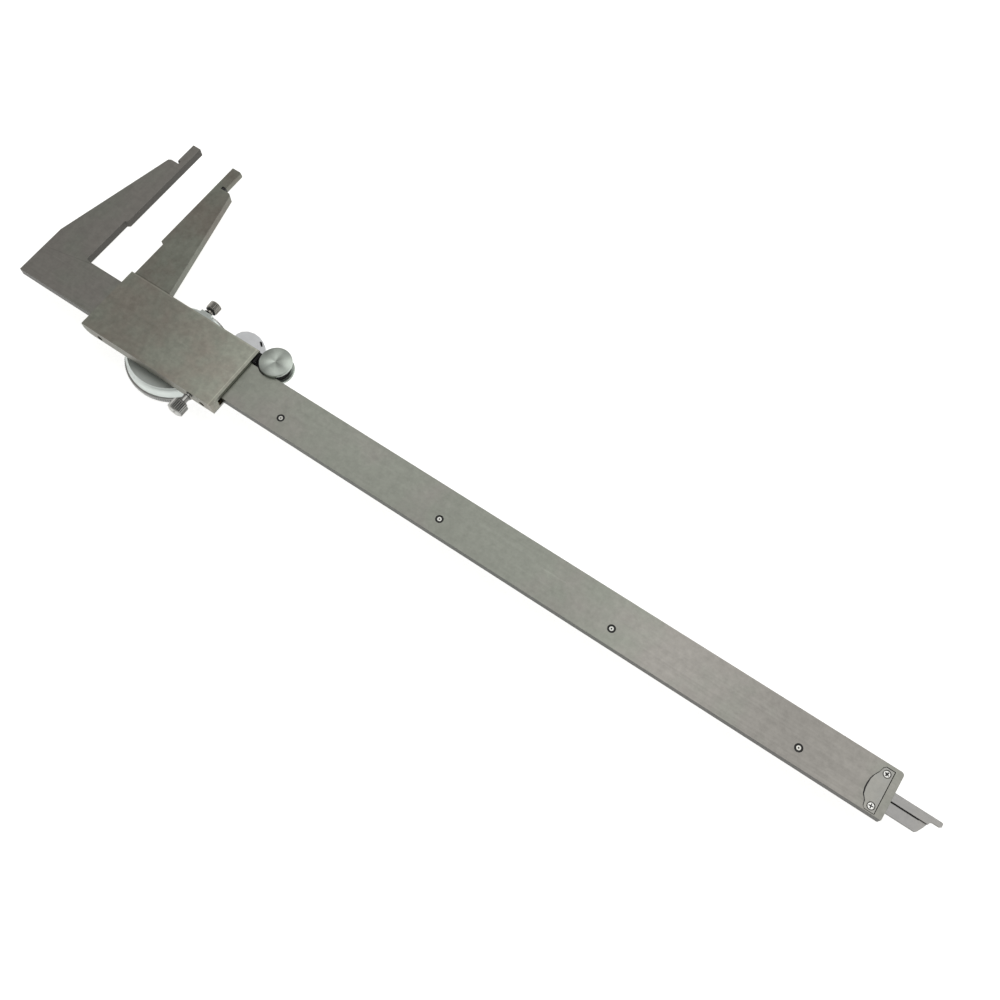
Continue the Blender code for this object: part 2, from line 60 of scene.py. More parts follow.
# Camera: looks down on the beam's back from the lock screw's side, a little turned, with the whole
# beam across the frame from the jaws at the upper left to the depth bar at the lower right.
view_azimuth, view_elevation, view_roll = (math.radians(a) for a in (32.795, 66.494, 1.348))
aim_point = Vector((17.61, -12.96, 15.4)) * mm
aim_distance = 435.47 * mm
camera_back = Vector((math.sin(view_azimuth) * math.cos(view_elevation),
                      -math.cos(view_azimuth) * math.cos(view_elevation),
                      math.sin(view_elevation)))
level_right = Vector((math.cos(view_azimuth), math.sin(view_azimuth), 0.0))
level_up = camera_back.cross(level_right)
camera_right = math.cos(view_roll) * level_right + math.sin(view_roll) * level_up
camera_up = camera_back.cross(camera_right)
camera_data = bpy.data.cameras.new("bench_camera")
camera_data.sensor_width = 36.0
camera_data.lens = 39.03
camera_data.clip_start = 0.01
camera = bpy.data.objects.new("bench_camera", camera_data)
bpy.context.scene.collection.objects.link(camera)
camera.matrix_world = Matrix.Translation(aim_point + camera_back * aim_distance) @ Matrix(
    (camera_right, camera_up, camera_back)).transposed().to_4x4()
bpy.context.scene.camera = camera
bpy.context.scene.view_settings.view_transform = "Standard"


# Bench top: a plain white board that the dial lies on, wide enough to fill every view. It glows
# a little, as an over-lit studio sweep does, so that only faint shadows stay on it.
def wire(tree, kind, values=(), **settings):
    """Add one node to a tree. values pairs an input with a number, colour or another socket."""
    made = tree.nodes.new(kind)
    for key, value in settings.items():
        setattr(made, key, value)
    for key, value in values:
        socket = made.inputs[key]
        if isinstance(value, bpy.types.NodeSocket):
            tree.links.new(value, socket)
        else:
            socket.default_value = value
    return made


def blank_material(name):
    """A material with only a Principled shader and its output; returns material, tree and shader."""
    material = bpy.data.materials.new(name)
    material.use_nodes = True
    tree = material.node_tree
    tree.nodes.clear()
    shader = wire(tree, "ShaderNodeBsdfPrincipled")
    wire(tree, "ShaderNodeOutputMaterial", [("Surface", shader.outputs[0])])
    return material, tree, shader


def blended(tree, factor, first, second, how="MIX"):
    """Colour output of a Mix node between two colours or sockets."""
    mixed = wire(tree, "ShaderNodeMix", data_type="RGBA", blend_type=how)
    for index, value in ((0, factor), (6, first), (7, second)):
        if isinstance(value, bpy.types.NodeSocket):
            tree.links.new(value, mixed.inputs[index])
        else:
            mixed.inputs[index].default_value = value
    return mixed.outputs[2]


def noise(tree, coords, scale, detail, ragged=0.5):
    """Value of a noise pattern over the piece, about 0 to 1."""
    return wire(tree, "ShaderNodeTexNoise", [("Vector", coords), ("Scale", scale), ("Detail", detail),
                                             ("Roughness", ragged)]).outputs[0]


def scaled(tree, value, low, high, window=(0.0, 1.0), **settings):
    """A socket's value taken from the window onto low to high."""
    return wire(tree, "ShaderNodeMapRange", [
        ("Value", value), ("From Min", window[0]), ("From Max", window[1]),
        ("To Min", low), ("To Max", high)], **settings).outputs[0]


board_white = (0.93, 0.93, 0.925, 1.0)
board_material, tree, shader = blank_material("board_white")
board_coords = wire(tree, "ShaderNodeTexCoord").outputs["Object"]
paper_roughness = scaled(tree, noise(tree, board_coords, 60.0, 3.0), 0.55, 0.7)
tree.links.new(paper_roughness, shader.inputs["Roughness"])
shader.inputs["Base Color"].default_value = board_white
shader.inputs["Specular IOR Level"].default_value = 0.1
shader.inputs["Emission Color"].default_value = board_white
shader.inputs["Emission Strength"].default_value = 0.8
board_mesh = bpy.data.meshes.new("bench_board")
board_half = 4.0
board_mesh.from_pydata([(-board_half, -board_half, cad_low.z), (board_half, -board_half, cad_low.z),
                        (board_half, board_half, cad_low.z), (-board_half, board_half, cad_low.z)],
                       [], [(0, 1, 2, 3)])
board_mesh.materials.append(board_material)
board = bpy.data.objects.new("bench_board", board_mesh)
bpy.context.scene.collection.objects.link(board)

# Studio light: a dim even room, white where the camera looks past the board, and one broad
# softbox high on the jaws' side that the beam mirrors and the fixed jaw just misses.
room = bpy.data.worlds.new("studio_room")
room.use_nodes = True
room_tree = room.node_tree
room_tree.nodes.clear()
lit_room = wire(room_tree, "ShaderNodeBackground", [("Color", (1.0, 0.985, 0.95, 1.0)), ("Strength", 0.31)])
seen_room = wire(room_tree, "ShaderNodeBackground", [("Color", (1.0, 1.0, 1.0, 1.0)), ("Strength", 1.0)])
seen = wire(room_tree, "ShaderNodeLightPath").outputs["Is Camera Ray"]
room_mix = wire(room_tree, "ShaderNodeMixShader", [(0, seen), (1, lit_room.outputs[0]),
                                                   (2, seen_room.outputs[0])])
wire(room_tree, "ShaderNodeOutputWorld", [("Surface", room_mix.outputs[0])])
bpy.context.scene.world = room


def softbox(name, at, towards, size, power, colour):
    """A rectangular area lamp that faces a point."""
    lamp = bpy.data.lights.new(name, "AREA")
    lamp.shape = "RECTANGLE"
    lamp.size, lamp.size_y = size
    lamp.energy = power
    lamp.color = colour
    holder = bpy.data.objects.new(name, lamp)
    bpy.context.scene.collection.objects.link(holder)
    facing = (Vector(at) - Vector(towards)).to_track_quat("Z", "Y").to_matrix().to_4x4()
    holder.matrix_world = Matrix.Translation(at) @ facing


softbox("overhead_softbox", (0.05, 0.38, 1.0), (0.02, 0.2, 0.0), (1.25, 0.75), 2.95, (1.0, 1.0, 0.985))


# Beam with the fixed jaw: ground stainless steel, one long flat bar with the jaw's blade let in at
# its end, so the grain runs along the beam and turns along the jaw behind a hairline seam.
def maths(tree, operation, *values, clamped=False):
    """Result of one sum on numbers or sockets."""
    return wire(tree, "ShaderNodeMath", list(enumerate(values)), operation=operation,
                use_clamp=clamped).outputs[0]


def tinted(tree, shader, tone, strength):
    """Base colour: a colour or a socket, times a strength."""
    painted = wire(tree, "ShaderNodeVectorMath", [(0, tone)], operation="SCALE")
    tree.links.new(strength, painted.inputs["Scale"])
    tree.links.new(painted.outputs[0], shader.inputs["Base Color"])


def surfaced(tree, shader, pattern, low, high, strength, depth, window=(0.0, 1.0)):
    """A pattern that sets the roughness, from low to high, and stands up by a little relief."""
    tree.links.new(scaled(tree, pattern, low, high, window), shader.inputs["Roughness"])
    relief = wire(tree, "ShaderNodeBump", [("Height", pattern), ("Strength", strength), ("Distance", depth)])
    tree.links.new(relief.outputs[0], shader.inputs["Normal"])


def ground_steel(name, warm, cool, roughness, grain=(14.0, 1900.0, 1900.0), jaw_seam=None, soil=0.35,
                 flank_shade=0.7, painted_lines=(), painted_cool_stretch=None, painted_light_ramps=(), patch=(34.0, 0.0)):
    """Satin steel: grinding grain, tone that drifts from warm to cool, hairline scratches.

    jaw_seam is (x, y, slope) of a line across which the grain turns by a right angle, flank the
    tone of the painted shade on faces that stand upright, lines the (axis, place, tone) of painted
    highlight and shade strokes, olive the four x of a stretch painted cooler to stand in for its light,
    lifts the (axis, start, end, gain) of a painted rise or fall of light, and patch the scale and
    strength of darker handled patches. Broken edges get painted shade or highlight by how they face.
    """
    material, tree, shader = blank_material(name)
    coords = wire(tree, "ShaderNodeTexCoord").outputs["Object"]
    place = wire(tree, "ShaderNodeSeparateXYZ", [("Vector", coords)]).outputs

    def streaks(scale, detail=2.0):
        stretched = wire(tree, "ShaderNodeMapping", [("Vector", coords), ("Scale", scale)])
        return noise(tree, stretched.outputs[0], 1.0, detail, 0.6)

    grain_lines = streaks(grain)
    if jaw_seam:
        seam_x, seam_y, slope = jaw_seam
        run = maths(tree, "ADD", place["X"], -seam_x)
        rise = maths(tree, "MULTIPLY_ADD", run, -slope, place["Y"])
        beyond = scaled(tree, rise, 0.0, 1.0, (seam_y - 0.1 * mm, seam_y + 0.1 * mm))
        jaw_lines = streaks((grain[1] * 0.8, grain[0] * 2, grain[2]))
        grain_lines = wire(tree, "ShaderNodeMix", [(0, beyond), (2, grain_lines), (3, jaw_lines)]).outputs[0]
    patch_scale, patch_strength = patch
    patches = noise(tree, coords, patch_scale, 4.0, 0.55)
    drift = scaled(tree, patches, 0.0, 1.0, (0.42, 0.58))
    # Painted light: over this stretch the tone is pushed towards the cool colour.
    if painted_cool_stretch:
        came = scaled(tree, place["X"], 0.0, 1.0, painted_cool_stretch[:2])
        went = scaled(tree, place["X"], 1.0, 0.0, painted_cool_stretch[2:])
        stretch = maths(tree, "MULTIPLY", came, went)
        swing = scaled(tree, patches, -0.7, 0.7, (0.36, 0.64), clamp=False)
        drift = maths(tree, "ADD", swing, stretch, clamped=True)
    tone = blended(tree, drift, (*warm, 1.0), (*cool, 1.0))
    mottle = noise(tree, coords, 420.0, 5.0, 0.7)
    factors = [scaled(tree, mottle, 1.0 - 0.22 * soil, 1.0 + 0.16 * soil, (0.3, 0.7))]
    if patch_strength:
        factors.append(scaled(tree, patches, 1.0 - 0.2 * patch_strength, 1.0 + 0.2 * patch_strength,
                              (0.35, 0.65)))
    if jaw_seam:
        near = maths(tree, "ABSOLUTE", maths(tree, "SUBTRACT", rise, seam_y))
        hairline = scaled(tree, near, 0.84, 1.0, (0.05 * mm, 0.3 * mm))
        past_blade = maths(tree, "GREATER_THAN", place["X"], seam_x + 22.2 * mm)
        factors.append(maths(tree, "MAXIMUM", hairline, past_blade))
    # Painted shade and highlight: upright faces are darkened to the flank tone, and broken edges are made
    # darker or lighter by the way they face.
    normal = wire(tree, "ShaderNodeSeparateXYZ",
                  [("Vector", wire(tree, "ShaderNodeNewGeometry").outputs["True Normal"])]).outputs
    level = maths(tree, "ABSOLUTE", normal["Z"])
    upright = scaled(tree, level, 1.0, 0.0, (0.2, 0.4))
    lying = scaled(tree, level, 0.0, 1.0, (0.96, 0.99))
    slant = maths(tree, "MULTIPLY_ADD", normal["Y"], -0.4, normal["X"])
    edge_light_and_shade = scaled(tree, slant, 0.35, 0.85, (-0.5, 0.5))
    factors.append(wire(tree, "ShaderNodeMix", [(0, lying), (2, edge_light_and_shade), (3, 1.0)]).outputs[0])
    flank_shade_tint = (0.98 * flank_shade, 0.98 * flank_shade, 0.97 * flank_shade, 1.0)
    tone = blended(tree, upright, tone, blended(tree, 1.0, tone, flank_shade_tint, "MULTIPLY"))
    # Painted light: the tone steps up or down along an axis.
    for axis, start, end, gain in painted_light_ramps:
        factors.append(scaled(tree, place[axis], 1.0, gain, (start, end)))
    # Painted highlight and shade: thin lighter or darker lines at given places.
    for axis, middle_of_line, strength in painted_lines:
        beside = maths(tree, "ABSOLUTE", maths(tree, "SUBTRACT", place[axis], middle_of_line))
        factors.append(scaled(tree, beside, strength, 1.0, (0.12 * mm, 0.3 * mm)))
    scratch = streaks((grain[0] * 3, grain[1] * 0.35, grain[1] * 0.35), 6.0)
    factors.append(scaled(tree, scratch, 1.0, 1.1, (0.68, 0.72)))
    value = scaled(tree, grain_lines, 0.965, 1.035, (0.3, 0.7))
    for factor in factors:
        value = maths(tree, "MULTIPLY", value, factor)
    tinted(tree, shader, tone, value)
    surfaced(tree, shader, grain_lines, roughness - 0.04, roughness + 0.04, 0.2, 0.02 * mm, (0.3, 0.7))
    shader.inputs["Metallic"].default_value = 1.0
    return material


def dressed(piece, body, slot, material, *stands_for, smooth=True):
    """Give a finished piece its smooth faces, material and body, and hide the nodes it stands for; slot is
    not used.
    """
    piece.data.materials.clear()
    piece.data.materials.append(material)
    if smooth:
        piece.data.shade_smooth()
        piece.data.set_sharp_from_angle(angle=math.radians(30))
    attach(piece, body)
    if stands_for:
        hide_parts(*stands_for)
    return piece


def eased(name, node, body, slot, material, width, rounds=2):
    """A copy of a CAD node with its sharp edges broken by a fine bevel; it stands for the node."""
    shape = bmesh.new()
    shape.from_mesh(nodes[node].data)
    bmesh.ops.remove_doubles(shape, verts=shape.verts, dist=0.002 * mm)
    bmesh.ops.dissolve_limit(shape, angle_limit=math.radians(0.5), verts=shape.verts, edges=shape.edges)
    mesh = bpy.data.meshes.new(name)
    shape.to_mesh(mesh)
    shape.free()
    mesh.shade_smooth()
    piece = bpy.data.objects.new(name, mesh)
    bpy.context.scene.collection.objects.link(piece)
    bevel = piece.modifiers.new("broken_edge", "BEVEL")
    bevel.width = width
    bevel.segments = rounds
    bevel.limit_method = "ANGLE"
    bevel.angle_limit = math.radians(32)
    piece.modifiers.new("even_faces", "WEIGHTED_NORMAL").weight = 100
    bpy.context.view_layer.update()
    graph = bpy.context.evaluated_depsgraph_get()
    finished = bpy.data.meshes.new_from_object(piece.evaluated_get(graph))
    piece.modifiers.clear()
    piece.data = finished
    return dressed(piece, body, slot, material, node, smooth=False)


beam_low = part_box("beam_fixed_jaw")[0]
jaw_root = (beam_low.x + 2.9 * mm, beam_low.y + 15.5 * mm, 0.19)
# Painted light and shade on the beam: its tone is painted lighter and darker in steps along its length, one
# stretch is painted cooler, and its upright faces are painted much darker.
beam_steel = ground_steel("beam_ground_steel", (0.37, 0.356, 0.333), (0.348, 0.363, 0.322), 0.42,
                          jaw_seam=jaw_root, flank_shade=0.28, soil=0.55, painted_cool_stretch=(-0.165, -0.13, -0.02, 0.11),
                          painted_light_ramps=(("X", -0.14, -0.115, 1.16), ("X", -0.09, 0.0, 0.79), ("X", 0.06, 0.1, 1.18),
                                 ("X", 0.11, 0.15, 0.87), ("X", 0.16, 0.185, 1.1)))
eased("beam_and_fixed_jaw", "beam_fixed_jaw", "beam", "satin_steel", beam_steel, 0.28 * mm)


# Beam graduations: fine engraved lines, blacked in, on the dial side, one every millimetre with a
# longer one at five and ten, and the tens in numerals that read with the jaws pointing down.
def input_tree(name, inputs):
    """An empty geometry tree with named inputs, its group input and its group output."""
    tree = bpy.data.node_groups.new(name, "GeometryNodeTree")
    for label, kind in inputs:
        tree.interface.new_socket(label, in_out="INPUT", socket_type=kind)
    tree.interface.new_socket("Geometry", in_out="OUTPUT", socket_type="NodeSocketGeometry")
    return tree, wire(tree, "NodeGroupInput"), wire(tree, "NodeGroupOutput")


repeat_tree, given, result = input_tree("repeated_part", [
    ("Part", "NodeSocketObject"), ("Count", "NodeSocketInt"), ("Step", "NodeSocketVector"),
    ("Turn", "NodeSocketFloat"), ("Start", "NodeSocketVector"), ("Finish", "NodeSocketMaterial")])
number = wire(repeat_tree, "GeometryNodeInputIndex").outputs[0]
angle = wire(repeat_tree, "ShaderNodeMath", [(0, number), (1, given.outputs["Turn"])], operation="MULTIPLY")
swung = wire(repeat_tree, "ShaderNodeVectorRotate", [("Vector", given.outputs["Start"]),
                                                     ("Angle", angle.outputs[0])], rotation_type="Z_AXIS")
moved = wire(repeat_tree, "ShaderNodeVectorMath", [(0, given.outputs["Step"])], operation="SCALE")
repeat_tree.links.new(number, moved.inputs["Scale"])
spot = wire(repeat_tree, "ShaderNodeVectorMath", [(0, swung.outputs[0]), (1, moved.outputs[0])],
            operation="ADD")
spots = wire(repeat_tree, "GeometryNodePoints", [("Count", given.outputs["Count"]),
                                                 ("Position", spot.outputs[0])])
facing = wire(repeat_tree, "ShaderNodeCombineXYZ", [("Z", angle.outputs[0])])
source = wire(repeat_tree, "GeometryNodeObjectInfo", [("Object", given.outputs["Part"])])
placed = wire(repeat_tree, "GeometryNodeInstanceOnPoints", [
    ("Points", spots.outputs[0]), ("Instance", source.outputs["Geometry"]), ("Rotation", facing.outputs[0])])
solid = wire(repeat_tree, "GeometryNodeRealizeInstances", [("Geometry", placed.outputs[0])])
finished = wire(repeat_tree, "GeometryNodeSetMaterial", [("Geometry", solid.outputs[0]),
                                                         ("Material", given.outputs["Finish"])])
repeat_tree.links.new(finished.outputs[0], result.inputs[0])


def from_bmesh(name, shape):
    """Link a bmesh as a new object at the origin."""
    bmesh.ops.recalc_face_normals(shape, faces=shape.faces)
    mesh = bpy.data.meshes.new(name)
    shape.to_mesh(mesh)
    shape.free()
    piece = bpy.data.objects.new(name, mesh)
    bpy.context.scene.collection.objects.link(piece)
    return piece


def bar_part(size):
    """A plain bar about the origin, used up by repeated()."""
    shape = bmesh.new()
    bmesh.ops.create_cube(shape, size=1.0)
    bmesh.ops.scale(shape, verts=shape.verts, vec=size)
    return from_bmesh("bar_part", shape)


def repeated(name, part, count, material, at, step=(0, 0, 0), turn=0.0, start=(0, 0, 0)):
    """Repeat a part along a line or round an axis, as one plain mesh whose pattern starts at `at`."""
    piece = bpy.data.objects.new(name, bpy.data.meshes.new(name))
    bpy.context.scene.collection.objects.link(piece)
    grower = piece.modifiers.new("repeat", "NODES")
    grower.node_group = repeat_tree
    wanted = {"Part": part, "Count": count, "Step": step, "Turn": turn, "Start": start, "Finish": material}
    for item in repeat_tree.interface.items_tree:
        if item.item_type == "SOCKET" and item.in_out == "INPUT":
            grower[item.identifier] = wanted[item.name]
    bpy.context.view_layer.update()
    graph = bpy.context.evaluated_depsgraph_get()
    mesh = bpy.data.meshes.new_from_object(piece.evaluated_get(graph))
    piece.modifiers.clear()
    piece.data = mesh
    bpy.data.objects.remove(part, do_unlink=True)
    mesh.transform(Matrix.Translation(at))
    return piece


def joined(name, *pieces):
    """Several meshes made into one new piece."""
    shape = bmesh.new()
    for piece in pieces:
        shape.from_mesh(piece.data)
        bpy.data.objects.remove(piece, do_unlink=True)
    mesh = bpy.data.meshes.new(name)
    shape.to_mesh(mesh)
    shape.free()
    whole = bpy.data.objects.new(name, mesh)
    bpy.context.scene.collection.objects.link(whole)
    return whole


def numerals(name, marks, height, depth):
    """Numbers as one thin solid mesh that faces down, -Z. marks holds (text, point)."""
    shape = bmesh.new()
    for text, point in marks:
        line = bpy.data.curves.new("numeral", "FONT")
        line.body = text
        line.size = height
        line.extrude = depth / 2
        line.align_x = line.align_y = "CENTER"
        line.resolution_u = 3
        holder = bpy.data.objects.new("numeral", line)
        bpy.context.scene.collection.objects.link(holder)
        bpy.context.view_layer.update()
        graph = bpy.context.evaluated_depsgraph_get()
        flat = bpy.data.meshes.new_from_object(holder.evaluated_get(graph))
        flat.transform(Matrix.Translation(point) @ Matrix.Rotation(math.pi, 4, "X"))
        shape.from_mesh(flat)
        bpy.data.objects.remove(holder, do_unlink=True)
    return from_bmesh(name, shape)


def stained(tree, shader, pattern, colour, other, window=(0.0, 1.0)):
    """Base colour that goes over to another where a pattern is strong."""
    shade = blended(tree, scaled(tree, pattern, 0.0, 1.0, window), (*colour, 1.0), (*other, 1.0))
    tree.links.new(shade, shader.inputs["Base Color"])


def marking_ink(name, colour):
    """Black filler in an engraved line, thinned here and there by wear."""
    material, tree, shader = blank_material(name)
    coords = wire(tree, "ShaderNodeTexCoord").outputs["Object"]
    thin = noise(tree, coords, 900.0, 4.0)
    stained(tree, shader, thin, colour, tuple(min(1.0, c + 0.12) for c in colour), (0.55, 0.8))
    tree.links.new(scaled(tree, thin, 0.4, 0.65), shader.inputs["Roughness"])
    return material


# This black is the ink of the scale and dial marks, and also paints shade where black pieces stand in for
# shadows in gaps and recesses.
ink_and_shade_black = marking_ink("scale_ink_and_shade_black", (0.018, 0.018, 0.02))
ink_depth = 0.03 * mm
slider_low, slider_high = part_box("slider_body")
jaw_face = 23.5 * mm
opening = slider_low.x - beam_low.x - jaw_face
scale_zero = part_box("front_plate")[0].x - opening
scale_length = 310
scale_face = beam_low.z
scale_edge = beam_low.y + 19.6 * mm
scale_rows = []
for row, (every, length, thickness) in enumerate(((1, 2.2, 0.14), (5, 3.0, 0.16), (10, 3.8, 0.2))):
    scale_line = bar_part((thickness * mm, length * mm, ink_depth))
    scale_rows.append(repeated(
        "scale_row_%d" % row, scale_line, scale_length // every + 1, ink_and_shade_black,
        (scale_zero, scale_edge - length * mm / 2, scale_face), step=(every * mm, 0, 0)))
beam_scale = joined("beam_scale_lines", *scale_rows)
dressed(beam_scale, "beam", "satin_steel", ink_and_shade_black)
tens = [(str(ten), Vector((scale_zero + ten * mm, scale_edge - 5.2 * mm, scale_face)))
        for ten in range(0, scale_length + 1, 10)]
dressed(numerals("beam_scale_numbers", tens, 2.4 * mm, ink_depth), "beam", "satin_steel", ink_and_shade_black)


# Rack and its pins: a toothed strip in the beam's groove, held by five stepped pins whose heads
# show on the back as a bright ring with a drilled centre; black rings paint the shade in the gap round each
# head and black discs the shade in the centre.
def turned_part(name, profile, steps=32):
    """Spin an (r, height) profile, in millimetres, about Z."""
    shape = bmesh.new()
    ring = [shape.verts.new((r * mm, 0.0, h * mm)) for r, h in profile]
    edges = [shape.edges.new(pair) for pair in zip(ring, ring[1:])]
    if profile[0][0] > 0:
        edges.append(shape.edges.new((ring[-1], ring[0])))
    bmesh.ops.spin(shape, geom=ring + edges, cent=(0, 0, 0), axis=(0, 0, 1), angle=2 * math.pi,
                   steps=steps, use_duplicate=False)
    bmesh.ops.remove_doubles(shape, verts=shape.verts, dist=0.001 * mm)
    return from_bmesh(name, shape)


def turned_steel(name, colour, centre, roughness=0.3, axis="Z", pull=0.75, painted_fan_sheen=0.0):
    """Bright lathe-turned steel with rings about an axis; fan is how far the painted sheen of its sectors
    differs in tone.
    """
    material, tree, shader = blank_material(name)
    coords = wire(tree, "ShaderNodeTexCoord").outputs["Object"]
    centred = wire(tree, "ShaderNodeMapping", [("Vector", coords), ("Location", tuple(-c for c in centre))])
    flat = wire(tree, "ShaderNodeMapping", [("Vector", centred.outputs[0]),
                                            ("Scale", (1, 1, 0) if axis == "Z" else (1, 0, 1))])
    radius = wire(tree, "ShaderNodeVectorMath", [(0, flat.outputs[0])], operation="LENGTH").outputs["Value"]

    def line_noise(along, scale, detail):
        return wire(tree, "ShaderNodeTexNoise", [("W", along), ("Scale", scale), ("Detail", detail)],
                    noise_dimensions="1D").outputs[0]

    rings = line_noise(radius, 5200.0, 2.0)
    cloud = noise(tree, coords, 500.0, 4.0)
    value = maths(tree, "MULTIPLY", scaled(tree, rings, 0.9, 1.08, (0.3, 0.7)),
                  scaled(tree, cloud, 0.93, 1.05, (0.3, 0.7)))
    if painted_fan_sheen:
        # Painted sheen: lighter and darker sectors round the axis stand in for the shine of facing cuts.
        sides = wire(tree, "ShaderNodeSeparateXYZ", [("Vector", centred.outputs[0])]).outputs
        swing = maths(tree, "ARCTAN2", sides["Y"], sides["X"])
        wave = maths(tree, "SINE", maths(tree, "MULTIPLY_ADD", swing, 4.0, -0.6))
        uneven = maths(tree, "MULTIPLY_ADD", line_noise(swing, 2.3, 3.0), 1.2, -0.6)
        both = maths(tree, "MULTIPLY_ADD", wave, 1.1, uneven)
        value = maths(tree, "MULTIPLY", value, maths(tree, "MULTIPLY_ADD", both, painted_fan_sheen, 1.0))
    tinted(tree, shader, colour, value)
    surfaced(tree, shader, rings, roughness - 0.08, roughness + 0.08, 0.2, 0.01 * mm)
    around = wire(tree, "ShaderNodeTangent", direction_type="RADIAL", axis=axis)
    tree.links.new(around.outputs[0], shader.inputs["Tangent"])
    shader.inputs["Anisotropic"].default_value = pull
    shader.inputs["Metallic"].default_value = 1.0
    return material


def middle(node):
    """Centre of a CAD node's box."""
    low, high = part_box(node)
    return (low + high) / 2


pin_steel = ground_steel("pin_steel", (0.66, 0.66, 0.62), (0.62, 0.63, 0.6), 0.3, grain=(900.0, 900.0, 900.0))
pin_spots = [middle("rack_pin_%d" % k) for k in range(1, 6)]
pin_pitch = ((pin_spots[4].x - pin_spots[0].x) / 4, 0, 0)
pin_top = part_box("rack_pin_1")[1].z + 0.05 * mm
pin_start = (pin_spots[0].x, pin_spots[0].y, pin_top)
pin_profile = [(0, -3.4), (0.55, -3.4), (0.55, -1.2), (1.4, -1.2), (1.4, -0.8), (1.0, -0.8), (1.0, -0.2),
               (0.9, -0.05), (0.36, -0.05), (0.26, -0.35), (0, -0.4)]
pin_part = turned_part("pin_part", pin_profile, 24)
pins = repeated("rack_pins", pin_part, 5, pin_steel, pin_start, step=pin_pitch)
dressed(pins, "beam", "screw_steel", pin_steel, *["rack_pin_%d" % k for k in range(1, 6)])
# Black rings in the gaps round the pin heads and black discs in their centres: painted shade.
gap_shade_profile = [(1.0, -0.7), (1.66, -0.7), (1.66, -0.3), (1.3, -0.36), (1.0, -0.3)]
seal_part = turned_part("seal_part", gap_shade_profile, 24)
dressed(repeated("rack_pin_seals", seal_part, 5, ink_and_shade_black, pin_start, step=pin_pitch), "beam",
        "black_rubber", ink_and_shade_black)
centre_part = turned_part("centre_part", [(0, -0.6), (0.36, -0.6), (0.36, -0.06), (0, -0.06)], 20)
dressed(repeated("rack_pin_centres", centre_part, 5, ink_and_shade_black, pin_start, step=pin_pitch), "beam",
        "black_rubber", ink_and_shade_black)
rack_steel = ground_steel("rack_steel", (0.5, 0.49, 0.47), (0.46, 0.47, 0.46), 0.32,
                          grain=(60.0, 900.0, 900.0))
nodes["rack"].data.materials[0] = rack_steel


# Tail plate: a thin steel plate let flush into the beam's end over the depth bar, held by two
# bright countersunk cross-head screws.
tail_steel = ground_steel("tail_plate_steel", (0.4, 0.385, 0.35), (0.37, 0.37, 0.35), 0.36,
                          grain=(1500.0, 30.0, 900.0))
eased("tail_cover_plate", "tail_plate", "beam", "satin_steel", tail_steel, 0.08 * mm)
for k in (1, 2):
    node = "tail_screw_%d" % k
    plated = turned_steel("cross_screw_steel_%d" % k, (0.82, 0.82, 0.8), middle(node), 0.2, pull=0.3)
    eased("cross_head_screw_%d" % k, node, "beam", "turned_steel", plated, 0.05 * mm)
    # A thin black cross in each head paints the shade inside its cross recess.
    arm_length, arm_width, arm_depth = 1.9 * mm, 0.42 * mm, 0.12 * mm
    arms = [bar_part((arm_length, arm_width, arm_depth)), bar_part((arm_width, arm_length, arm_depth))]
    cross = joined("cross_recess_%d" % k, *arms)
    cross.data.transform(Matrix.Translation((middle(node).x, middle(node).y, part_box(node)[1].z - 0.05 * mm))
                         @ Matrix.Rotation(math.radians(25 + 35 * k), 4, "Z"))
    dressed(cross, "beam", "black_rubber", ink_and_shade_black)


def skinned(name, rings):
    """A closed mesh through a row of outlines that have equally many points, capped at both ends."""
    shape = bmesh.new()
    loops = [[shape.verts.new(point) for point in ring] for ring in rings]
    shape.faces.new(loops[0])
    shape.faces.new(loops[-1])
    for first, second in zip(loops, loops[1:]):
        for k in range(len(first)):
            following = (k + 1) % len(first)
            shape.faces.new((first[k], first[following], second[following], second[k]))
    return from_bmesh(name, shape)


# x, y along the plate's curved edge, and half the width of the black strip that paints the shade there, in
# millimetres
shaded_edge = [(411.25, 15.3, 0.1), (410.2, 13.4, 0.16), (409.6, 11.6, 0.2), (409.4, 9.6, 0.28),
              (409.4, 7.4, 0.3), (409.85, 5.2, 0.26), (411.2, 3.3, 0.2), (411.6, 1.3, 0.12)]
shade_top = pin_top + 0.01 * mm
shade_rings = []
for x, y, half in shaded_edge:
    spot = Vector((beam_low.x + x * mm, beam_low.y + y * mm, shade_top))
    section = ((-half, 0, -0.3), (half, 0, -0.3), (half, 0, 0), (-half, 0, 0))
    shade_rings.append([spot + Vector(shift) * mm for shift in section])
dressed(skinned("tail_seam_dirt", shade_rings), "beam", "black_rubber", ink_and_shade_black)


# Slider: one ground steel channel that wraps the beam, with the sliding jaw and its nib in one
# piece with it; its edges are broken and its back carries faint brown handling marks.
# Place of a painted highlight line that stands in for a chamfer at the slider's end.
end_highlight = slider_high.x - 1.4 * mm
jaw_shoulder = slider_low.y + 33.0 * mm
# Painted light and shade on the slider: a highlight line near its end, a light and a dark line at the jaw's
# shoulder, the end towards the roller painted brighter, the jaw painted darker and its upright faces
# darkened.
slider_steel = ground_steel("slider_ground_steel", (0.39, 0.364, 0.318), (0.35, 0.362, 0.312), 0.42,
                            grain=(22.0, 1700.0, 1700.0), soil=0.75, flank_shade=0.7, patch=(46.0, 0.55),
                            painted_lines=(("X", end_highlight, 1.3),
                                   ("Y", jaw_shoulder - 1.1 * mm, 1.25),
                                   ("Y", jaw_shoulder + 0.35 * mm, 0.72)),
                            painted_light_ramps=(("X", slider_low.x + 28 * mm, slider_high.x, 1.36),
                                   ("Y", jaw_shoulder - mm, jaw_shoulder + mm, 0.85)),
                            jaw_seam=(slider_low.x, jaw_shoulder, 0.0))
